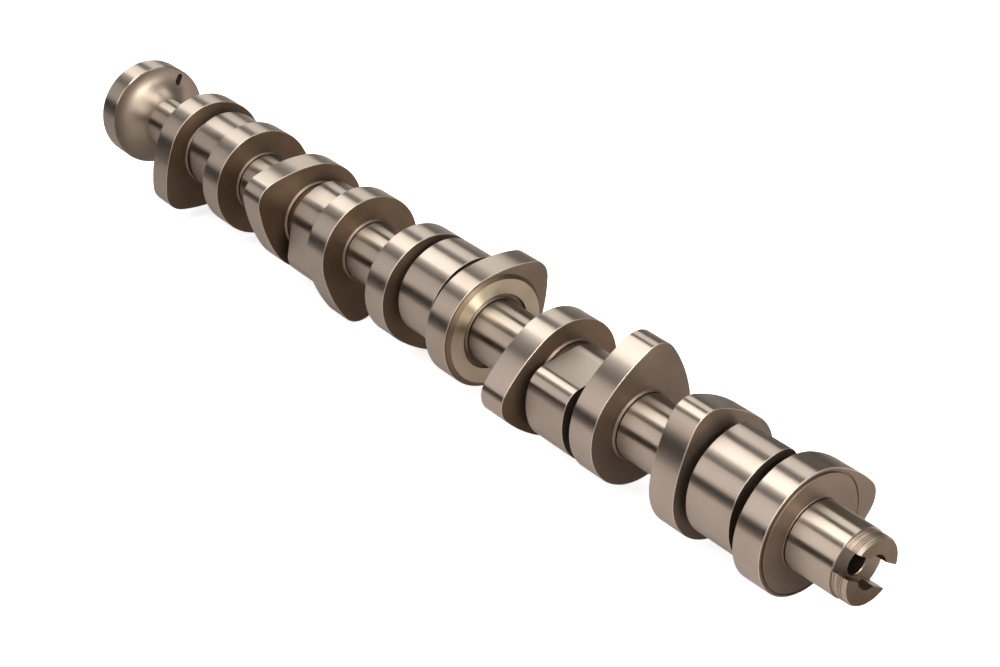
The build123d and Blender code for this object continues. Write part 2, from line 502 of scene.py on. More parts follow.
@dataclass
class Lobe:
    """Shared shape of all lobes: side faces, rounded edges and a track."""

    half_width: float
    edge: float

    def radius(self, angles: np.ndarray, turned: float) -> np.ndarray:
        """Radius of the track at each angle, which each kind of lobe works out."""
        raise NotImplementedError

    def lay(self, skin: TurnedSkin, middle: float, turned: float, side: Surface = Surface.SIDE) -> None:
        """Adds the lobe's rear face, track and front face.

        Args:
            skin: Skin that the rings go to.
            middle: Place of the lobe's middle along the axis.
            turned: Angle that the lobe is turned by.
            side: Finish of the rear face.
        """
        track = self.radius(skin.angles, turned)
        bend = rounded((0.0, 0.0), (0.0, self.edge), (self.edge, 0.0))
        for along, drop in bend:
            skin.ring(middle - self.half_width + along, track - drop, Surface.EDGE if along else side)
        surface = Surface.TRACK
        for along, drop in bend[::-1]:
            skin.ring(middle + self.half_width - along, track - drop, surface)
            surface = Surface.EDGE


@dataclass
class ValveLobe(Lobe):
    """Pear-shaped lobe: base circle, two flank arcs and a nose arc that touch each other."""

    half_width: float = 6.4 * MM
    edge: float = 0.30 * MM
    base_radius: float = 25.9 * MM
    lift: float = 8.7 * MM
    nose_radius: float = 10.1 * MM
    flank_radius: float = 66.0 * MM
    hub_radius: float = 12.0 * MM

    def radius(self, angles: np.ndarray, turned: float) -> np.ndarray:
        """Radius of the track.

        Each arc with centre (cx, cy) and radius R is met by the ray at angle a at
        c + sqrt(R2 - s2), with c = cx cos a + cy sin a and s = cx sin a - cy cos a.

        Args:
            angles: Angles round the shaft.
            turned: Angle of the nose.

        Returns:
            One radius for each angle.
        """
        off = np.abs((angles - turned + math.pi) % TURN - math.pi)
        nose_centre = self.base_radius + self.lift - self.nose_radius
        to_base = self.flank_radius - self.base_radius
        to_nose = self.flank_radius - self.nose_radius
        flank_x = (to_base**2 - to_nose**2 + nose_centre**2) / (2.0 * nose_centre)
        flank_y = -math.sqrt(to_base**2 - flank_x**2)
        base_touch = math.atan2(-flank_y, -flank_x)
        nose_touch = math.atan2(-flank_y, nose_centre - flank_x)
        nose_end = math.atan2(self.nose_radius * math.sin(nose_touch),
                              nose_centre + self.nose_radius * math.cos(nose_touch))
        sine = nose_centre * np.sin(off)
        nose_arc = nose_centre * np.cos(off) + np.sqrt(np.maximum(self.nose_radius**2 - sine**2, 0.0))
        side = flank_x * np.sin(off) - flank_y * np.cos(off)
        flank = flank_x * np.cos(off) + flank_y * np.sin(off) + np.sqrt(self.flank_radius**2 - side**2)
        return np.where(off < nose_end, nose_arc, np.where(off < base_touch, flank, self.base_radius))

    def lay(self, skin: TurnedSkin, middle: float, turned: float, side: Surface = Surface.SIDE) -> None:
        """Adds the lobe as Lobe.lay does, with the pole and hub of its rear face before it."""
        skin.outline([(middle - self.half_width, 0.0), (middle - self.half_width, self.hub_radius)], side)
        super().lay(skin, middle, turned, side)


@dataclass
class InjectorLobe(Lobe):
    """Wide lobe: flat steep flank, rounded shoulder, short dwell and a long even fall."""

    half_width: float = 10.85 * MM
    edge: float = 0.25 * MM
    base_radius: float = 16.8 * MM
    lift: float = 9.1 * MM
    shoulder_radius: float = 9.0 * MM
    foot: float = math.radians(23.0)
    dwell: float = math.radians(42.0)
    fall: float = math.radians(202.0)
    fall_spans: int = 5

    def eased(self, share: np.ndarray) -> np.ndarray:
        """Even fall from 0 to 1 whose ends start and stop gently.

        It is a cubic spline through points on the straight line, level at both ends: its slopes m
        solve m[i-1] + 4 m[i] + m[i+1] = 6, and a span is a cubic with the two slopes at its ends.

        Args:
            share: Share of the fall's angle, 0 to 1.

        Returns:
            Share of the lift that is lost.
        """
        spans = self.fall_spans
        inner = np.eye(spans - 1) * 4.0 + np.eye(spans - 1, k=1) + np.eye(spans - 1, k=-1)
        slopes = np.concatenate([[0.0], np.linalg.solve(inner, np.full(spans - 1, 6.0)), [0.0]])
        scaled = np.clip(share, 0.0, 1.0) * spans
        span = np.minimum(scaled.astype(int), spans - 1)
        t = scaled - span
        bend = slopes[span] * t * (1.0 - t)**2 - slopes[span + 1] * t**2 * (1.0 - t)
        return (span + t**2 * (3.0 - 2.0 * t) + bend) / spans

    def radius(self, angles: np.ndarray, turned: float) -> np.ndarray:
        """Radius of the track.

        Flank: base / cos. Shoulder: the ray meets an arc inside the top circle. Then the top
        circle, the eased fall and the base circle.

        Args:
            angles: Angles round the shaft.
            turned: Angle that the lobe is turned by.

        Returns:
            One radius for each angle.
        """
        top = self.base_radius + self.lift
        across = self.base_radius - self.shoulder_radius
        reach = top - self.shoulder_radius
        along = math.sqrt(reach**2 - across**2)
        dwell_start = self.foot + math.atan2(along, across)
        flank_end = self.foot + math.atan2(along, self.base_radius)
        local = (angles - turned - self.foot) % TURN + self.foot
        flank = self.base_radius / np.cos(np.minimum(local, flank_end) - self.foot)
        off = np.minimum(local - dwell_start, 0.0)
        sine = np.clip(reach * np.sin(off), -self.shoulder_radius, self.shoulder_radius)
        shoulder = reach * np.cos(off) + np.sqrt(self.shoulder_radius**2 - sine**2)
        falling = top - self.lift * self.eased((local - dwell_start - self.dwell) / self.fall)
        return np.where(local < flank_end, flank, np.where(local < dwell_start, shoulder, falling))


@dataclass
class Shoulder:
    """Coned shoulder and narrow relief where the barrel runs into a lobe face."""

    height: float = 1.1 * MM
    lip: float = 0.3 * MM
    width: float = 0.8 * MM
    relief_depth: float = 0.3 * MM
    relief_width: float = 0.6 * MM

    def points(self, face: float, radius: float, way: int) -> Outline:
        """Outline from a lobe face out to the barrel.

        Args:
            face: Place of the lobe face.
            radius: Radius of the barrel.
            way: 1 towards the drive end, -1 towards the flange.

        Returns:
            The points, place along the axis and radius.
        """
        cone_end = face + way * self.width
        relief_end = cone_end + way * self.relief_width
        return [(face, radius + self.height), (cone_end, radius + self.lip),
                (cone_end, radius - self.relief_depth), (relief_end, radius - self.relief_depth),
                (relief_end, radius)]

    def lay(self, skin: TurnedSkin, face: float, radius: float, way: int, barrel: Surface) -> None:
        """Adds the shoulder to a skin: a cone and a relief in the dark BORE finish, painted shade.

        Args:
            skin: Skin that the rings go to.
            face: Place of the lobe face.
            radius: Radius of the barrel.
            way: 1 to run from the face out to the barrel, -1 to run back to a face.
            barrel: Finish of the band that leads to the first point.
        """
        finishes = [Surface.END, Surface.BORE, Surface.BORE, Surface.BORE][::way]
        for point, surface in zip(self.points(face, radius, way)[::way], [barrel, *finishes]):
            skin.ring(*point, surface)


@dataclass
class Layout:
    """Places of the lobes along the axis and round it."""

    cylinders: int = 5
    pitch: float = 87.3 * MM
    thrust_extra: float = 3.1 * MM
    first: float = 82.4 * MM
    valve_side: float = 21.4 * MM
    thrust_group: int = 3
    leading: tuple[float, ...] = (218.0, 146.0, 290.0, 74.0, 2.0)
    leads_at_rear: tuple[bool, ...] = (True, True, True, False, False)
    lag: float = 108.0

    def middle(self, number: int) -> float:
        """Place of a cylinder's middle along the axis, numbered from 0."""
        extra = self.thrust_extra if number >= self.thrust_group else 0.0
        return self.first + number * self.pitch + extra

    def noses(self, number: int) -> Triple:
        """Angles of a cylinder's rear valve lobe, injector lobe and front valve lobe."""
        lead = self.leading[number]
        pair = (lead, lead + self.lag) if self.leads_at_rear[number] else (lead + self.lag, lead)
        return math.radians(pair[0]), math.radians(lead), math.radians(pair[1])


@dataclass(kw_only=True)
class ShaftPart:
    """A length of the shaft, with the shapes that the parts share."""

    layout: Layout
    finishes: Finishes
    valve: ValveLobe = field(default_factory=ValveLobe)
    shoulder: Shoulder = field(default_factory=Shoulder)

    def face(self, number: int, side: int) -> float:
        """Place of a group's outer face: -1 for the one nearer the flange, 1 for the other."""
        return self.layout.middle(number) + side * (self.layout.valve_side + self.valve.half_width)

    def piece(self, name: str, skin: TurnedSkin) -> bpy.types.Object:
        """Makes a closed piece of one skin."""
        patchwork = Patchwork(name)
        skin.lay(patchwork)
        return patchwork.build(self.finishes)


@dataclass(kw_only=True)
class LobeGroup(ShaftPart):
    """Lobes of one cylinder, with the thick barrel between them."""

    number: int
    injector: InjectorLobe = field(default_factory=InjectorLobe)
    core_radius: float = 16.3 * MM
    painted_light_from: int = 4

    def valve_lobe(self, side: int, nose: float) -> bpy.types.Object:
        """Makes one valve lobe: the open lobes nearest the drive end get the paler END faces, painted light,
        and the others the darker SIDE faces, painted shade.

        Args:
            side: -1 for the lobe nearer the flange, 1 for the other.
            nose: Angle of the nose.

        Returns:
            The closed piece.
        """
        place = "rear" if side < 0 else "front"
        # Painted light and shade: lobes from this number on take the paler faces, the others the darker ones.
        finish = Surface.END if self.number + 2 * max(side, 0) >= self.painted_light_from else Surface.SIDE
        middle = self.layout.middle(self.number) + side * self.layout.valve_side
        front = middle + self.valve.half_width
        skin = TurnedSkin()
        self.valve.lay(skin, middle, nose, finish)
        skin.outline([(front, self.valve.hub_radius), (front, 0.0)], finish)
        return self.piece(f"{place}_valve_lobe_{self.number + 1}", skin)

    def injector_lobe(self, turned: float) -> bpy.types.Object:
        """Makes the injector lobe and the barrel on both sides of it.

        Args:
            turned: Angle that the lobe is turned by.

        Returns:
            The closed piece.
        """
        middle = self.layout.middle(self.number)
        reach = self.layout.valve_side - self.valve.half_width
        skin = TurnedSkin()
        skin.ring(middle - reach, 0.0)
        self.shoulder.lay(skin, middle - reach, self.core_radius, 1, Surface.CORE)
        skin.ring(middle - self.injector.half_width, self.core_radius, Surface.CORE)
        self.injector.lay(skin, middle, turned, Surface.CORE)
        skin.ring(middle + self.injector.half_width, self.core_radius, Surface.CORE)
        self.shoulder.lay(skin, middle + reach, self.core_radius, -1, Surface.CORE)
        skin.ring(middle + reach, 0.0)
        return self.piece(f"injector_lobe_{self.number + 1}", skin)

    def build(self) -> list[bpy.types.Object]:
        """Makes the group's lobes; the last front lobe belongs to the drive end."""
        rear, lead, front = self.layout.noses(self.number)
        made = [self.valve_lobe(-1, rear), self.injector_lobe(lead)]
        if self.number + 1 < self.layout.cylinders:
            made.append(self.valve_lobe(1, front))
        return made


@dataclass(kw_only=True)
class Journal(ShaftPart):
    """Bearing journal between two groups of lobes."""

    number: int
    radius: float = 14.15 * MM

    def build(self) -> list[bpy.types.Object]:
        """Makes the journal with its shoulders as a closed piece."""
        rear, front = self.face(self.number, 1), self.face(self.number + 1, -1)
        skin = TurnedSkin()
        skin.ring(rear, 0.0)
        self.shoulder.lay(skin, rear, self.radius, 1, Surface.JOURNAL)
        self.shoulder.lay(skin, front, self.radius, -1, Surface.JOURNAL)
        skin.ring(front, 0.0)
        return [self.piece(f"journal_{self.number + 1}", skin)]


@dataclass(kw_only=True)
class ThrustRing(ShaftPart):
    """Raised thrust face on the lobe before the third journal."""

    bore_radius: float = 16.9 * MM
    face_radius: float = 23.5 * MM
    foot_radius: float = 25.0 * MM
    height: float = 1.5 * MM
    edge: float = 0.15 * MM

    def build(self) -> list[bpy.types.Object]:
        """Makes the ring as a closed piece, seated on the lobe's face."""
        foot = self.face(self.layout.thrust_group - 1, 1)
        face = foot + self.height
        skin = TurnedSkin()
        skin.ring(foot, self.bore_radius)
        skin.outline([(foot, self.foot_radius), (face, self.face_radius)], Surface.SIDE)
        skin.outline(rounded((face, self.bore_radius), (0.0, self.edge), (-self.edge, 0.0)), Surface.THRUST)
        skin.ring(foot, self.bore_radius, Surface.CORE)
        return [self.piece("thrust_ring", skin)]


@dataclass(kw_only=True)
class DriveEnd(ShaftPart):
    """Last front lobe with its turned face, the end journal, the bore and the slotted tongue."""

    face_radius: float = 24.0 * MM
    face_height: float = 0.6 * MM
    face_edge: float = 0.2 * MM
    groove_width: float = 1.0 * MM
    groove_depth: float = 0.3 * MM
    journal_radius: float = 14.15 * MM
    journal_length: float = 21.9 * MM
    journal_edge: float = 0.15 * MM
    tongue_radius: float = 13.7 * MM
    tongue_length: float = 6.8 * MM
    tongue_edge_length: float = 1.1 * MM
    tongue_edge_height: float = 0.6 * MM
    relief_width: float = 2.4 * MM
    relief_depth: float = 0.3 * MM
    ridge_count: int = 3
    ridge_width: float = 0.20 * MM
    ridge_depth: float = 0.16 * MM
    slot_width: float = 9.4 * MM
    slot_angle: float = math.radians(-34.0)
    socket_radius: float = 7.0 * MM
    socket_depth: float = 5.6 * MM
    bore_radius: float = 4.8 * MM
    bore_depth: float = 30.0 * MM
    bore_edge: float = 0.3 * MM
    drill_point: float = math.radians(118.0)
    flat_columns: int = 24
    socket_columns: int = 48
    jaw_rounding: float = 0.12 * MM

    def __post_init__(self) -> None:
        """Works out the last lobe's front face, the slot's floor and the shaft's end."""
        self.lobe_face = self.face(self.layout.cylinders - 1, 1)
        self.floor = self.lobe_face + self.journal_length
        self.end = self.floor + self.tongue_length

    def stem(self) -> bpy.types.Object:
        """Makes the last lobe, its turned face, the journal and the bore as one closed piece."""
        face, top = self.lobe_face, self.lobe_face + self.face_height
        skin = TurnedSkin()
        self.valve.lay(skin, face - self.valve.half_width, self.layout.noses(self.layout.cylinders - 1)[2])
        # The groove round the disc takes the dark BORE and CORE tints: painted shade where the disc meets the
        # lobe face.
        skin.ring(face, self.face_radius + self.groove_width, Surface.END)
        skin.ring(face - self.groove_depth, self.face_radius + self.groove_width, Surface.BORE)
        skin.ring(face - self.groove_depth, self.face_radius, Surface.CORE)
        disc = rounded((top, self.face_radius), (-self.face_edge, 0.0), (0.0, -self.face_edge))
        skin.outline(disc, Surface.END)
        cone = self.shoulder.points(face, self.journal_radius, 1)
        meeting = cone[0][1] + self.face_height / self.shoulder.width * (cone[1][1] - cone[0][1])
        skin.outline([(top, meeting), cone[1]], Surface.END)
        skin.outline(cone[2:], Surface.BORE)
        skin.outline(rounded((self.floor, self.journal_radius), (-self.journal_edge, 0.0),
                             (0.0, -self.journal_edge)), Surface.JOURNAL)
        skin.ring(self.floor, self.tongue_radius - self.relief_depth, Surface.EDGE)
        # The slot floor's finish paints shade on it, darker along its way.
        skin.ring(self.floor, self.bore_radius + self.bore_edge, Surface.SCORCHED)
        skin.ring(self.floor - self.bore_edge, self.bore_radius, Surface.SCORCHED)
        bottom = self.end - self.bore_depth
        tip = bottom - self.bore_radius / math.tan(self.drill_point / 2.0)
        skin.outline([(bottom, self.bore_radius), (tip, 0.0)], Surface.BORE)
        return self.piece("drive_end", skin)

    def columns(self) -> np.ndarray:
        """Places across the jaw that all its rows share, from one tip to the other."""
        radii = (self.tongue_radius, self.tongue_radius - self.relief_depth, self.socket_radius)
        outer_tip, relief_tip, notch = (math.sqrt(radius**2 - self.slot_width**2 / 4.0) for radius in radii)
        flat = np.linspace(relief_tip, notch, self.flat_columns + 1)
        turn = math.acos(notch / self.socket_radius)
        arc = self.socket_radius * np.cos(np.linspace(turn, math.pi - turn, self.socket_columns + 1))
        return np.concatenate([[outer_tip], flat, arc[1:-1], -flat[::-1], [-outer_tip]])

    def outer_wall(self) -> list[tuple[float, float, Surface]]:
        """Outer wall of the tongue from floor to end, with a ridge in the relief and fine grooves above.

        Returns:
            Place along the axis, radius and the finish that leads there.
        """
        relief = self.tongue_radius - self.relief_depth
        neck = self.floor + self.relief_width
        edge = self.end - self.tongue_edge_length
        middle = self.floor + self.relief_width / 2.0
        wall = [(middle - self.ridge_width, relief, Surface.TRUMPET),
                (middle, relief + self.ridge_depth, Surface.EDGE),
                (middle + self.ridge_width, relief, Surface.SIDE),
                (neck, relief, Surface.TRUMPET),
                (neck, self.tongue_radius, Surface.SIDE)]
        for place in np.linspace(neck, edge, self.ridge_count + 2)[1:-1]:
            wall += [(place - self.ridge_width, self.tongue_radius, Surface.TRUMPET),
                     (place, self.tongue_radius - self.ridge_depth, Surface.SIDE),
                     (place + self.ridge_width, self.tongue_radius, Surface.SIDE)]
        return wall + [(edge, self.tongue_radius, Surface.TRUMPET),
                       (self.end, self.tongue_radius - self.tongue_edge_height, Surface.TRUMPET)]

    def jaw(self, number: int) -> bpy.types.Object:
        """Makes one half of the tongue, beside the slot.

        Its section at each column runs up the outer wall, over the end face, down the slot wall
        with the socket's notch, and back under it. The outer wall is at w = sqrt(R2 - l2), the
        slot wall at w = half the slot, or sqrt(socket2 - l2) in the notch.

        Args:
            number: 1 or 2.

        Returns:
            The closed piece.
        """
        half_slot = self.slot_width / 2.0
        columns = self.columns()

        def outer(along: float, radius: float) -> np.ndarray:
            """Row on the outer wall, ended at the tips of its radius."""
            tip = math.sqrt(radius**2 - half_slot**2)
            cross = np.clip(columns, -tip, tip)
            return np.stack([np.full_like(cross, along), cross, np.sqrt(radius**2 - cross**2)], axis=1)

        def inner(along: float, radius: float, notched: bool) -> np.ndarray:
            """Row on the slot wall, with the socket's notch or without."""
            row = outer(along, radius)
            notch = self.socket_radius**2 - row[:, 1]**2 if notched else half_slot**2
            row[:, 2] = np.sqrt(np.maximum(notch, half_slot**2))
            return row

        wall = self.outer_wall()
        relief = self.tongue_radius - self.relief_depth
        ledge = self.end - self.socket_depth
        upper = [point[:2] for point in wall[-2::-1] if point[0] > ledge]
        lower = [point[:2] for point in wall[::-1] if point[0] < ledge]
        milled = [*(inner(*point, True) for point in upper),
                  inner(ledge, relief, True),
                  inner(ledge, relief, False),
                  *(inner(*point, False) for point in lower),
                  inner(self.floor, relief, False)]
        local = np.stack([inner(self.floor, relief, False),
                          outer(self.floor, relief),
                          *(outer(along, radius) for along, radius, _ in wall),
                          inner(*wall[-1][:2], True),
                          *milled])
        surfaces = [Surface.MILLED, *(surface for _, _, surface in wall), Surface.SIDE]
        turned = self.slot_angle + (number - 1) * math.pi
        points = raised(local[..., 0], local[..., 1:2] * polar(1.0, turned)
                        + local[..., 2:] * polar(1.0, turned + math.pi / 2.0))
        steps = np.linalg.norm(np.diff(local, axis=0), axis=2).max(axis=1)
        patchwork = Patchwork(f"drive_jaw_{number}")
        patchwork.add(points, spread_chart(-local[..., 1] / UV_UNIT, run_down(steps)),
                      surfaces + [Surface.MILLED] * len(milled))
        return patchwork.build(self.finishes, self.jaw_rounding)

    def build(self) -> list[bpy.types.Object]:
        """Makes the stem and the two jaws."""
        return [self.stem(), self.jaw(1), self.jaw(2)]


@dataclass(kw_only=True)
class GearFlange(ShaftPart):
    """Flange with rim, trumpet and neck, pilot bore, threaded bolt holes and timing slot."""

    rim_radius: float = 25.5 * MM
    rim_thickness: float = 11.6 * MM
    rim_edge: float = 0.6 * MM
    trumpet_radius: float = 11.8 * MM
    trumpet_half_steps: int = 24
    neck_radius: float = 12.3 * MM
    pilot_radius: float = 7.0 * MM
    pilot_depth: float = 14.0 * MM
    pilot_edge: float = 0.3 * MM
    bolt_circle: float = 16.5 * MM
    bolt_hole_radius: float = 3.4 * MM
    bolt_hole_depth: float = 10.0 * MM
    bolt_count: int = 4
    thread_pitch: float = 1.25 * MM
    thread_depth: float = 0.45 * MM
    thread_rows: int = 50
    thread_chart: float = 10.0 * MM
    hole_edge: float = 0.6 * MM
    slot_centre: float = 20.9 * MM
    slot_angle: float = math.radians(50.0)
    slot_length: float = 6.0 * MM
    slot_width: float = 3.0 * MM
    sector_start: float = math.radians(33.0)
    sector_stop: float = math.radians(66.0)
    cell_inner: float = 16.5 * MM
    cell_outer: float = 24.6 * MM
    cell_rows: int = 8

    def __post_init__(self) -> None:
        """Starts the piece and works out the trumpet's ends and the timing slot's centre."""
        self.patchwork = Patchwork("gear_flange")
        self.trumpet_end = self.rim_thickness + self.trumpet_radius
        self.trumpet_top = self.neck_radius + self.trumpet_radius
        self.cell_turn = math.acos((self.trumpet_top - self.cell_inner) / self.trumpet_radius)
        self.slot_place = polar(self.slot_centre, self.slot_angle)

    def front(self, radius: np.ndarray) -> np.ndarray:
        """Place of the flange's front at a radius: flat outside, then a quarter circle.

        x = end - sqrt(R2 - (top - r)2), with top = neck + R.

        Args:
            radius: Distance from the axis.

        Returns:
            Place along the axis.
        """
        drop = np.clip(self.trumpet_top - radius, 0.0, self.trumpet_radius)
        return self.trumpet_end - np.sqrt(self.trumpet_radius**2 - drop**2)

    def cell_radii(self) -> np.ndarray:
        """Radii of the rings across the cell in front, from the outer to the inner."""
        turn = np.linspace(math.pi / 2.0, self.cell_turn, self.trumpet_half_steps + 1)
        return np.concatenate([[self.cell_outer], self.trumpet_top - self.trumpet_radius * np.cos(turn)])

    def sector(self, radii: np.ndarray, start: float, stop: float) -> np.ndarray:
        """Edge of a sector, round once from its outer start corner.

        Args:
            radii: Radii of its sides, from the outer to the inner.
            start: First angle.
            stop: Last angle.

        Returns:
            Points y and z, closed.
        """
        angles = fan(start, stop)
        arc, side = np.ones(len(angles) - 1), np.ones(len(radii) - 1)
        radius = np.concatenate([arc * radii[0], radii[:-1], arc * radii[-1], radii[::-1]])
        return polar(radius, np.concatenate([angles[:-1], side * stop, angles[:0:-1], side * start, [start]]))

    def bearing(self, edge: np.ndarray, centre: np.ndarray) -> np.ndarray:
        """Directions of a sector's edge points, seen from a hole's centre, rising all the way."""
        off = edge - centre
        return np.unwrap(np.arctan2(off[:, 1], off[:, 0]))

    def slot_edge(self, bearings: np.ndarray) -> np.ndarray:
        """Edge of the timing slot: straight sides and round ends, met by rays from its centre.

        Args:
            bearings: Directions of the rays, in any shape.

        Returns:
            Points y and z.
        """
        half = self.slot_width / 2.0
        straight = (self.slot_length - self.slot_width) / 2.0
        cosine, sine = np.moveaxis(np.abs(polar(1.0, bearings - self.slot_angle)), -1, 0)
        on_side = half / np.maximum(sine, 1.0e-9)
        on_end = straight * cosine + np.sqrt(np.maximum(half**2 - (straight * sine)**2, 0.0))
        return self.slot_place + polar(np.where(on_side * cosine <= straight, on_side, on_end), bearings)

    def add_cell(self, hole: np.ndarray, edge: np.ndarray, on_front: bool) -> None:
        """Adds a face between a hole and a sector's edge, blended straight from one to the other.

        Its UV map is the turn about the axis and the distance from it.

        Args:
            hole: Points y and z on the hole's edge.
            edge: As many on the sector's edge.
            on_front: True on the flange's front, False on its rear face.
        """
        hole[-1] = hole[0]
        web = hole + (edge - hole) * np.linspace(0.0, 1.0, self.cell_rows + 1)[:, None, None]
        web = web[::-1] if on_front else web
        radius = np.hypot(web[..., 0], web[..., 1])
        turn = np.unwrap(np.unwrap(np.arctan2(web[..., 1], web[..., 0]), axis=1), axis=0)
        self.patchwork.add(raised(self.front(radius) if on_front else 0.0, web),
                           spread_chart(turn / TURN, radius / UV_UNIT),
                           Surface.TRUMPET if on_front else Surface.END)

    def bolt_hole(self, centre: np.ndarray, bearings: np.ndarray) -> None:
        """Adds a threaded hole.

        The wall's radius is hole + depth (1 - |2p - 1|), with p the fraction of x / pitch less the
        turn, so that the groove climbs once for each turn. It fades out at the bottom.

        Args:
            centre: Centre on the rear face, y and z.
            bearings: Directions of the columns.
        """
        depth = np.linspace(self.bolt_hole_depth, self.hole_edge, self.thread_rows)[:, None]
        phase = (depth / self.thread_pitch - bearings / TURN) % 1.0
        fade = np.clip((self.bolt_hole_depth - depth) / self.thread_pitch, 0.0, 1.0)
        radius = self.bolt_hole_radius + self.thread_depth * fade * (1.0 - np.abs(2.0 * phase - 1.0))
        mouth = np.full((1, len(bearings)), self.bolt_hole_radius + self.hole_edge)
        radius = np.concatenate([0.0 * mouth, radius, mouth])
        along = np.concatenate([[[self.bolt_hole_depth]], depth, [[0.0]]])
        points = raised(along, centre + polar(radius, bearings))
        points[:, -1] = points[:, 0]
        self.patchwork.add(points, spread_chart(bearings / TURN, along / self.thread_chart), Surface.BORE)

    def rear_face(self) -> np.ndarray:
        """Adds the rear face in sectors, with the bolt holes.

        Returns:
            Directions of the points on the timing slot's rear edge.
        """
        radii = np.linspace(self.rim_radius - self.rim_edge, self.pilot_radius + self.pilot_edge,
                            len(self.cell_radii()))
        half = math.pi / self.bolt_count
        mouth = self.bolt_hole_radius + self.hole_edge
        sectors = [[2.0 * half * turn - half, 2.0 * half * turn + half] for turn in range(self.bolt_count)]
        sectors[0][1] = self.sector_start
        sectors[1][0] = self.sector_stop
        for turn, (start, stop) in enumerate(sectors):
            edge = self.sector(radii, start, stop)
            centre = polar(self.bolt_circle, 2.0 * half * turn)
            bearings = self.bearing(edge, centre)
            self.bolt_hole(centre, bearings)
            self.add_cell(centre + polar(mouth, bearings), edge, False)
        edge = self.sector(radii, self.sector_start, self.sector_stop)
        bearings = self.bearing(edge, self.slot_place)
        self.add_cell(self.slot_edge(bearings), edge, False)
        return bearings

    def front_face(self, rear_bearings: np.ndarray) -> None:
        """Adds the flange's front round the timing slot, and the slot's wall.

        Args:
            rear_bearings: Directions of the points on the slot's rear edge.
        """
        radii = self.cell_radii()
        rest = TurnedSkin(self.sector_stop, self.sector_start + TURN)
        rest.outline(list(zip(self.front(radii), radii)), Surface.TRUMPET)
        rest.lay(self.patchwork)
        edge = self.sector(radii, self.sector_start, self.sector_stop)
        front_bearings = self.bearing(edge, self.slot_place)
        self.add_cell(self.slot_edge(front_bearings), edge, True)
        share = np.linspace(0.0, 1.0, self.cell_rows + 1)[:, None]
        bearings = front_bearings + (rear_bearings - front_bearings) * share
        wall = self.slot_edge(bearings)
        wall[:, -1] = wall[:, 0]
        along = self.front(np.hypot(wall[0, :, 0], wall[0, :, 1])) * (1.0 - share)
        self.patchwork.add(raised(along, wall), spread_chart(bearings / TURN, share), Surface.MILLED)

    def build(self) -> list[bpy.types.Object]:
        """Makes the flange and its neck as one closed piece."""
        pilot = TurnedSkin()
        pilot.outline([(self.pilot_depth, 0.0), (self.pilot_depth, self.pilot_radius)], Surface.BORE)
        pilot.outline([(self.pilot_edge, self.pilot_radius), (0.0, self.pilot_radius + self.pilot_edge)],
                      Surface.JOURNAL)
        pilot.lay(self.patchwork)
        self.front_face(self.rear_face())
        rim = TurnedSkin()
        edge, thickness = self.rim_edge, self.rim_thickness
        rim.outline(rounded((0.0, self.rim_radius), (0.0, -edge), (edge, 0.0)), Surface.TRACK)
        rim.outline(rounded((thickness, self.rim_radius), (-edge, 0.0), (0.0, -edge)), Surface.TRACK)
        rim.ring(thickness, self.cell_outer, Surface.TRUMPET)
        rim.lay(self.patchwork)
        neck = TurnedSkin()
        for turn in np.linspace(self.cell_turn, 0.0, self.trumpet_half_steps + 1):
            neck.ring(self.trumpet_end - self.trumpet_radius * math.sin(turn),
                      self.trumpet_top - self.trumpet_radius * math.cos(turn), Surface.TRUMPET)
        neck.ring(self.face(0, -1), self.neck_radius, Surface.JOURNAL)
        neck.ring(self.face(0, -1), 0.0)
        neck.lay(self.patchwork)
        return [self.patchwork.build(self.finishes)]


@dataclass
class PhotoCamera:
    """Camera of the photograph, fitted to the shaft."""

    place: Triple = (0.8045, -0.4180, 0.4042)
    right: Triple = (0.6298, 0.7767, 0.0)
    up: Triple = (-0.4038, 0.3275, 0.8540)
    lens: float = 67.67
    sensor: float = 36.0
    nearest: float = 0.01

    def build(self) -> None:
        """Adds the camera and makes it the scene's own."""
        data = bpy.data.cameras.new("photo_camera")
        data.lens = self.lens
        data.sensor_width = self.sensor
        data.sensor_fit = "HORIZONTAL"
        data.clip_start = self.nearest
        right, up = Vector(self.right).normalized(), Vector(self.up)
        up = (up - right * up.dot(right)).normalized()
        axes = Matrix((right, up, right.cross(up))).transposed()
        camera = put("photo_camera", data)
        camera.matrix_world = Matrix.Translation(self.place) @ axes.to_4x4()
        bpy.context.scene.camera = camera


@dataclass(frozen=True)
class Hanging:
    """Long flat thing of the studio that hangs at an angle round the shaft and faces it."""

    name: str
    angle: float
    distance: float
    centre: float
    length: float
    width: float
    level: float
    turned: float = 0.0

    def axes(self) -> Matrix:
        """Place and axes: X along its length, Z away from the shaft.

        Its place is distance (cos a, sin a) round the shaft.

        Returns:
            The matrix.
        """
        turn = math.radians(self.angle)
        out = Vector((0.0, math.cos(turn), math.sin(turn)))
        side = Matrix.Rotation(math.radians(self.turned), 3, out) @ Vector((1.0, 0.0, 0.0))
        place = Vector((self.centre, 0.0, 0.0)) + out * self.distance
        return Matrix.Translation(place) @ Matrix((side, out.cross(side), out)).transposed().to_4x4()


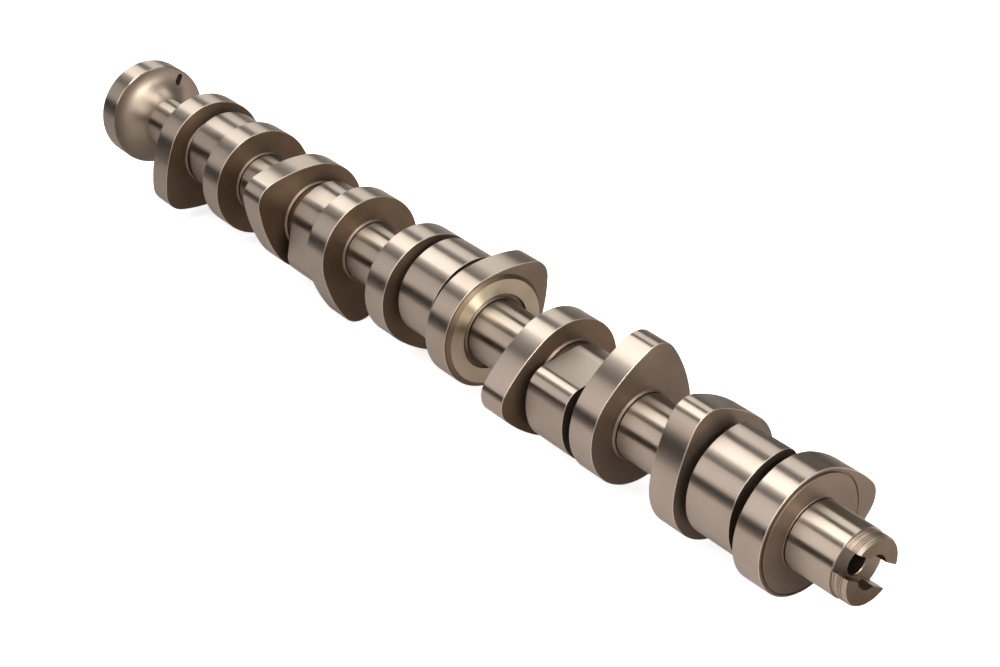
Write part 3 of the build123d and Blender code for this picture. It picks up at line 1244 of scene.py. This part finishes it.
@dataclass(frozen=True)
class Softbox(Hanging):
    """Soft lamp, whose level is its radiance."""

    colour: Triple = (0.96, 1.0, 1.0)
    fade: float = 1.0

    def build(self) -> None:
        """Adds the lamp, unseen by the camera.

        Its power is pi x area x radiance. The radiance falls evenly along the lamp, to fade times
        as much over the flange.
        """
        data = bpy.data.lights.new(self.name, "AREA")
        data.shape = "RECTANGLE"
        data.size = self.length
        data.size_y = self.width
        data.energy = math.pi * self.length * self.width * self.level
        data.color = self.colour
        nodes = Nodes(data)
        along = nodes.parts(nodes.add("ShaderNodeNewGeometry").outputs["Parametric"])[0]
        nodes.show("Light", nodes.glow(WHITE, nodes.spread(along, 0.0, 1.0, self.fade, 1.0)))
        lamp = put(self.name, data)
        lamp.matrix_world = self.axes()
        lamp.visible_camera = False


@dataclass(frozen=True)
class Flag(Hanging):
    """Dark card beside the lamps, which only shows as a dark band on the steel."""

    CORNERS = ((-0.5, -0.5), (-0.5, 0.5), (0.5, 0.5), (0.5, -0.5))
    TINT = (1.0, 0.93, 0.90, 1.0)

    def build(self) -> None:
        """Adds the card as a part of the studio, seen by nothing but gloss."""
        material = bpy.data.materials.new(self.name)
        nodes = Nodes(material)
        nodes.show("Material", nodes.glow(self.TINT, self.level))
        corners = [self.axes() @ Vector((along * self.length, across * self.width, 0.0))
                   for along, across in self.CORNERS]
        card = put_card(self.name, [tuple(corner) for corner in corners], material)
        card.visible_camera = False
        card.visible_diffuse = False
        card.visible_shadow = False


@dataclass
class Studio:
    """White floor, pale surroundings and long soft lamps.

    A span maps the range of its first two numbers to the range of its last two, clamped.
    """

    floor_height: float
    floor_half: float = 6.0
    floor_albedo: float = 0.80
    floor_lift: float = 0.55
    gloss_lift: float = 0.28
    gloss_tint: Triple = (1.0, 0.94, 0.93)
    sky: Span = (0.06, 0.36, 1.25, 0.14)
    near_flange: Span = (-0.10, 0.38, 0.40, 0.66)
    far_side: Span = (0.06, 0.22, 0.0, 1.0)
    slant: float = 0.6
    beyond_starts: Span = (0.34, 0.42, 0.0, 1.0)
    beyond_stops: Span = (0.51, 0.57, 1.0, 0.0)
    under_starts: Span = (-0.010, 0.015, 0.0, 0.9)
    under_stops: Span = (0.030, 0.050, 1.0, 0.0)
    beside: Span = (0.085, 0.12, 0.0, 0.92)
    lamps: tuple[Softbox, ...] = (
        Softbox("key_lamp", 88.4, 1.0, -0.585, 3.77, 0.51, 6.1, -11.5, fade=0.23),
        Softbox("rim_lamp", 46.5, 1.2, -0.97, 3.0, 0.49, 3.3, -13.0, fade=0.36),
        Softbox("side_lamp", 146.3, 1.1, -0.05, 1.9, 0.85, 4.0, -4.0, (1.0, 0.99, 1.0), 0.0),
        Softbox("key_fill", 95.0, 1.0, 2.30, 1.6, 0.50, 26.0),
        Softbox("rim_fill", 50.0, 1.1, 2.10, 1.5, 0.50, 8.0),
        Softbox("side_fill", 144.0, 1.1, 1.70, 1.1, 0.60, 6.0, colour=(1.0, 0.97, 0.98)),
    )
    flags: tuple[Flag, ...] = (
        Flag("side_flag", 174.6, 0.331, 0.05, 1.7, 0.162, 0.0, -4.2),
        Flag("far_flag", 20.0, 1.25, 0.45, 2.0, 0.9, 0.25),
    )

    def reflected_level(self, nodes: Nodes) -> Socket:
        """Share of the floor's light that gloss sees: less near the flange and beyond the drive end, a
        painted reflection that only the steel shows.

        Args:
            nodes: Nodes of the floor's material.

        Returns:
            The share.
        """
        along, across, _ = nodes.parts(nodes.add("ShaderNodeTexCoord").outputs["Object"])
        slanted = nodes.math("ADD", along, nodes.product(across, self.slant))
        near = nodes.spread(along, *self.near_flange)
        starts = nodes.spread(slanted, *self.beyond_starts)
        stops = nodes.spread(slanted, *self.beyond_stops)
        far, under_starts, under_stops, beside = (nodes.spread(across, *span) for span in (
            self.far_side, self.under_starts, self.under_stops, self.beside))
        level = nodes.math("MAXIMUM", near, far)
        under = nodes.product(under_starts, under_stops)
        dim = nodes.product(nodes.product(starts, stops), nodes.math("MAXIMUM", under, beside))
        return nodes.product(level, nodes.math("SUBTRACT", 1.0, dim))

    def floor(self) -> None:
        """Adds the floor just under the shaft: matt and pale, lifted to white where it is seen. Gloss sees it
        tinted and dimmed, a painted reflection.
        """
        material = bpy.data.materials.new("floor")
        nodes = Nodes(material)
        path = nodes.add("ShaderNodeLightPath")
        gloss = nodes.math("MAXIMUM", path.outputs["Is Glossy Ray"], path.outputs["Is Transmission Ray"])
        dimmed = nodes.product(gloss, nodes.math("SUBTRACT", 1.0, self.reflected_level(nodes)))
        tint = nodes.blend(gloss, WHITE[:3], self.gloss_tint)
        colour = nodes.scale(tint, nodes.math("SUBTRACT", 1.0, dimmed))
        matt = nodes.add("ShaderNodeBsdfDiffuse", {"Color": nodes.scale(colour, self.floor_albedo)})
        lift = nodes.math("ADD", nodes.product(path.outputs["Is Camera Ray"], self.floor_lift),
                          nodes.product(gloss, self.gloss_lift))
        both = nodes.add("ShaderNodeAddShader", {0: matt.outputs[0], 1: nodes.glow(colour, lift)})
        nodes.show("Material", both.outputs[0])
        half = self.floor_half
        corners = ((-half, -half), (half, -half), (half, half), (-half, half))
        put_card("floor", [(*corner, self.floor_height) for corner in corners], material)

    def surroundings(self) -> None:
        """Makes the world pale near the horizon and grey overhead, and white for the camera."""
        world = bpy.data.worlds.new("studio")
        nodes = Nodes(world)
        height = nodes.parts(nodes.add("ShaderNodeTexCoord").outputs["Generated"])[2]
        camera = nodes.add("ShaderNodeLightPath").outputs["Is Camera Ray"]
        level = nodes.math("MAXIMUM", nodes.spread(height, *self.sky), camera)
        back = nodes.add("ShaderNodeBackground", {"Color": WHITE, "Strength": level})
        nodes.show("World", back.outputs[0])
        bpy.context.scene.world = world

    def build(self) -> None:
        """Adds floor, surroundings, lamps and flags, and sets the plain view transform."""
        self.floor()
        self.surroundings()
        for hanging in self.lamps + self.flags:
            hanging.build()
        bpy.context.scene.view_settings.view_transform = "Standard"


def main() -> None:
    """Builds the shaft, the studio and the camera in order."""
    logging.basicConfig(level=logging.INFO, format="%(name)s: %(message)s")
    layout = Layout()
    shared = {"layout": layout, "finishes": Finishes()}
    parts = [GearFlange(**shared),
             *(LobeGroup(**shared, number=number) for number in range(layout.cylinders)),
             *(Journal(**shared, number=number) for number in range(layout.cylinders - 1)),
             ThrustRing(**shared),
             DriveEnd(**shared)]
    for part in parts:
        for piece in part.build():
            LOG.info("%s: %d faces", piece.name, len(piece.data.polygons))
    Studio(cad_box[0].z).build()
    PhotoCamera().build()


if __name__ == "__main__":
    main()
